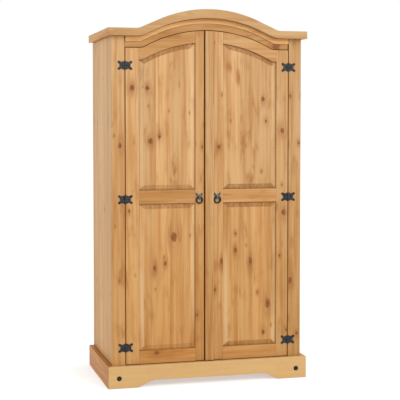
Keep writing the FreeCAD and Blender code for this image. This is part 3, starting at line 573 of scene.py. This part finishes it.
def zinc_steel(name):
    """Zinc-plated steel, drawn along x."""
    g = Graph(name)
    place, _ = g.object_place()
    x, y, z = g.parts(place)
    drawn = g.noise(g.point(g.times(x, 12.0), g.times(y, 900.0), g.times(z, 900.0)), 1.0)
    spangle = g.noise(place, SPANGLE, 3.0)
    g.shade(
        Base_Color=g.tint(spangle, DULL_ZINC, BRIGHT_ZINC),
        Metallic=1.0,
        Roughness=g.add(0.24, g.times(drawn, 0.2)),
        Normal=g.bump(drawn, FINE_RELIEF, 0.4),
    )
    return g.material


def brown_plastic(name):
    """Moulded plastic with a fine grain."""
    g = Graph(name)
    place, _ = g.object_place()
    grain = g.noise(place, PLASTIC_GRAIN)
    cloud = g.noise(place, PLASTIC_CLOUD)
    g.shade(
        Base_Color=g.tint(cloud, DARK_PLASTIC, LIGHT_PLASTIC),
        Roughness=g.add(0.42, g.times(grain, 0.15)),
        Normal=g.bump(grain, FINE_RELIEF, 0.5),
    )
    return g.material


def plywood(name):
    """Peeled birch on the faces, and thin plies on the edges."""
    g = Graph(name)
    place, normal = g.object_place()
    x, y, z = g.parts(place)
    flow = g.noise(g.point(g.times(x, 2.2), 3.0, g.times(z, 0.9)), 1.0, 3.0)
    peel = g.math("FRACT", g.add(g.times(x, 22.0), g.times(flow, 9.0)))
    line = g.times(g.math("POWER", peel, 3.0), g.fade(peel, 1.0, 0.9))
    fibre = g.noise(g.point(g.times(x, 700.0), 0.0, g.times(z, 9.0)), 1.0)
    colour = g.tint(g.times(line, 0.5), BIRCH, BIRCH_LINE)
    colour = g.tint(g.fade(fibre, 0.3, 0.7, 0.0, 0.16), colour, BIRCH_FIBRE)
    layer = g.math("FRACT", g.times(y, PLIES_PER_METRE))
    edge = g.fade(g.math("ABSOLUTE", g.parts(normal)[1]), 0.6, 0.3)
    ply = g.tint(g.math("GREATER_THAN", layer, 0.5), PLY_FACE, PLY_GLUE)
    g.shade(
        Base_Color=g.tint(edge, colour, ply),
        Roughness=g.add(0.58, g.times(fibre, 0.15)),
        Normal=g.bump(fibre, PLY_RELIEF, 0.5),
    )
    return g.material


# ---------------------------------------------------------------- which board is which


def board(grain, across, **more):
    """What pine() is told about a board, with the axes its grain and its width lie along."""
    return {"grain": grain, "across": across, **more}


def upright(**more):
    return board("Z", "X", **more)


def level(**more):
    return board("X", "Z", **more)


def side_panel():
    return board("Z", "Y", stave=0.043, pale=0.35, strewn=0.003, contrast=0.9, tone=1.16,
                 warmth=0.6)


def plinth_side():
    return board("Y", "Z", tone=1.14, warmth=1.9, strewn=0.0)


def cornice_side():
    return board("Y", "Z", tone=1.30, warmth=1.7, strewn=0.0)


# Each board's seed is its place in this list. A knot is (across, along, radius), and a fourth
# number draws it out along the grain more or less than KNOT_STRETCH does.
BOARDS = {
    "left_side_panel": side_panel(),
    "right_side_panel": side_panel(),
    "left_face_stile": upright(knots=((-0.4524, 1.2083, 0.008, 1.7),), tone=0.95),
    "right_face_stile": upright(
        tone=0.98,
        knots=((0.4847, 1.2183, 0.005), (0.4365, 1.4592, 0.004),
               (0.4400, 0.5039, 0.009, 2.0), (0.4765, 0.2280, 0.006))),
    "floor_panel": board("X", "Y", stave=0.09),
    "top_panel": board("X", "Y", stave=0.09, pale=0.4),
    "back_muntin": upright(pale=0.5),
    "top_shelf": board("X", "Y", stave=0.09, pale=0.3),
    "shelf_cleats": board("Y", "Z", pale=0.3),
    "header_board": level(tone=1.24, warmth=0.6, strewn=0.0),
    "header_arch_rail": level(tone=1.01, warmth=1.0, strewn=0.0,
                              knots=((1.7095, 0.3607, 0.015),)),
    "cornice_front": level(strewn=0.0, tone=1.04, figure=1.3, pale=0.15, end_grain=0.35),
    "cornice_left": cornice_side(),
    "cornice_right": cornice_side(),
    "plinth_front": level(tone=1.0, strewn=0.0, pale=0.75, foot=0.6),
    "plinth_left": plinth_side(),
    "plinth_right": plinth_side(),
    "plinth_back": level(),
    "left_door_hinge_stile": upright(knots=((-0.3922, 1.4955, 0.011),), tone=1.06),
    "left_door_meeting_stile": upright(knots=((-0.030, 1.200, 0.004),), tone=0.98, warmth=0.6),
    "left_door_top_rail": level(strewn=0.0, tone=0.84, warmth=1.1),
    "left_door_mid_rail": level(strewn=0.0, tone=0.92, warmth=0.7),
    "left_door_bottom_rail": level(strewn=0.0, tone=1.11, warmth=0.65,
                                   knots=((0.1646, -0.2667, 0.010),)),
    "left_door_upper_panel": upright(
        seams=(-0.2690, -0.2023, -0.1116), panel=True, strewn=0.004, tone=1.03, flames=0.8,
        end_grain=0.48, knots=((-0.3133, 1.4931, 0.010, 1.1), (-0.2974, 1.2299, 0.012, 1.1),
                               (-0.2513, 1.2522, 0.006, 1.7))),
    "left_door_lower_panel": upright(
        seams=(-0.3383, -0.2692, -0.1998, -0.1272), panel=True, strewn=0.004, flames=0.5,
        tone=1.06, warmth=0.1, end_grain=0.28,
        knots=((-0.1791, 0.7462, 0.015, 1.5), (-0.2230, 0.6142, 0.006, 1.6),
               (-0.2769, 0.5935, 0.008, 1.8))),
    "right_door_hinge_stile": upright(
        tone=0.995,
        knots=((0.3944, 1.2807, 0.010), (0.4026, 0.8595, 0.010, 1.4), (0.3808, 0.6354, 0.005))),
    "right_door_meeting_stile": upright(
        tone=0.975,
        knots=((0.0563, 1.2002, 0.008), (0.0351, 0.4735, 0.005, 1.9),
               (0.0700, 0.6170, 0.006, 2.0))),
    "right_door_top_rail": level(strewn=0.0, tone=0.96, warmth=0.5),
    "right_door_mid_rail": level(strewn=0.0, tone=1.05, warmth=0.2),
    "right_door_bottom_rail": level(strewn=0.0, tone=1.09, warmth=0.65),
    "right_door_upper_panel": upright(
        seams=(0.1700, 0.2456), panel=True, strewn=0.004, tone=1.08, flames=0.8, end_grain=0.95,
        knots=((0.2914, 1.4429, 0.009), (0.3076, 1.3298, 0.006))),
    "right_door_lower_panel": upright(
        seams=(0.1600, 0.2340, 0.3000), panel=True, strewn=0.004, tone=1.16, warmth=0.1,
        end_grain=0.80,
        knots=((0.1449, 0.6720, 0.007, 1.8), (0.2251, 0.6121, 0.009, 2.2),
               (0.3184, 0.3903, 0.011, 2.2), (0.2946, 0.2421, 0.008, 1.6))),
    "closing_strip": upright(strewn=0.0, tone=1.05),
}

# ---------------------------------------------------------------- edges of the boards

WELD_REACH = 0.00002
ARRIS = 0.0014
ARRIS_SEGMENTS = 2
ARRIS_ANGLE = 40.0
FLAT_ANGLE = 0.5
CREASE_ANGLE = 5.0


def crease_rule():
    """A node group that shades sharp only the edges that turn more than the crease angle.

    The normals that came with the mesh go first, because they don't fit the rounded arrises.
    """
    tree = bpy.data.node_groups.new("crease_rule", "GeometryNodeTree")
    tree.interface.new_socket("Mesh", in_out="INPUT", socket_type="NodeSocketGeometry")
    tree.interface.new_socket("Mesh", in_out="OUTPUT", socket_type="NodeSocketGeometry")
    add = tree.nodes.new
    start = add("NodeGroupInput")
    end = add("NodeGroupOutput")
    plain = add("GeometryNodeRemoveAttribute")
    plain.inputs["Name"].default_value = "custom_normal"
    faces = add("GeometryNodeSetShadeSmooth")
    edges = add("GeometryNodeSetShadeSmooth")
    edges.domain = "EDGE"
    angle = add("GeometryNodeInputMeshEdgeAngle")
    soft = add("FunctionNodeCompare")
    soft.operation = "LESS_THAN"
    soft.inputs["B"].default_value = math.radians(CREASE_ANGLE)
    for source, target in (
        (start.outputs[0], plain.inputs["Geometry"]),
        (plain.outputs[0], faces.inputs["Geometry"]),
        (faces.outputs[0], edges.inputs["Geometry"]),
        (angle.outputs[0], soft.inputs["A"]),
        (soft.outputs[0], edges.inputs["Shade Smooth"]),
        (edges.outputs[0], end.inputs[0]),
    ):
        tree.links.new(source, target)
    return tree


def soften(piece, creases):
    """Rounds the board's arrises, as sanding does, and keeps its faces flat."""
    weld = piece.modifiers.new("weld", "WELD")
    weld.merge_threshold = WELD_REACH
    flat = piece.modifiers.new("flat", "DECIMATE")
    flat.decimate_type = "DISSOLVE"
    flat.angle_limit = math.radians(FLAT_ANGLE)
    bevel = piece.modifiers.new("arris", "BEVEL")
    bevel.width = ARRIS
    bevel.segments = ARRIS_SEGMENTS
    bevel.limit_method = "ANGLE"
    bevel.angle_limit = math.radians(ARRIS_ANGLE)
    shading = piece.modifiers.new("creases", "NODES")
    shading.node_group = creases


# ---------------------------------------------------------------- dressing


def gap_side(node):
    """The x of a stile's edge at the gap round the doors or between them."""
    low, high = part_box(node)
    pick = max if node.endswith("hinge_stile") else min
    return pick(low[0], high[0], key=abs)


def dress_boards():
    """Gives every board its own pine and its rounded arrises."""
    creases = crease_rule()
    for seed, (node, facts) in enumerate(BOARDS.items(), start=1):
        piece = bpy.data.objects[node]
        # a stile's edge at the door gap gets painted shade
        if node.endswith("_stile"):
            facts = {**facts, "gap": gap_side(node)}
        piece.data.materials[0] = pine(f"pine_{node}", seed=seed, **facts)
        soften(piece, creases)


def dress_fittings():
    """Gives every node that isn't a pine board the finish of its material slot."""
    worn_iron = black_iron("worn_black_iron", wear=0.7)
    finishes = {
        "black_iron": black_iron("hammered_black_iron"),
        "steel": zinc_steel("zinc_plated_steel"),
        "catch_plastic": brown_plastic("brown_plastic"),
        "plywood": plywood("birch_plywood"),
    }
    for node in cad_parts:
        if node in BOARDS:
            continue
        slots = bpy.data.objects[node].data.materials
        finish = finishes[slots[0].name.split(".")[0]]
        slots[0] = worn_iron if node.endswith("handle_plate") else finish


def main():
    make_camera()
    make_floor()
    make_world()
    make_key_light()
    dress_boards()
    dress_fittings()


main()
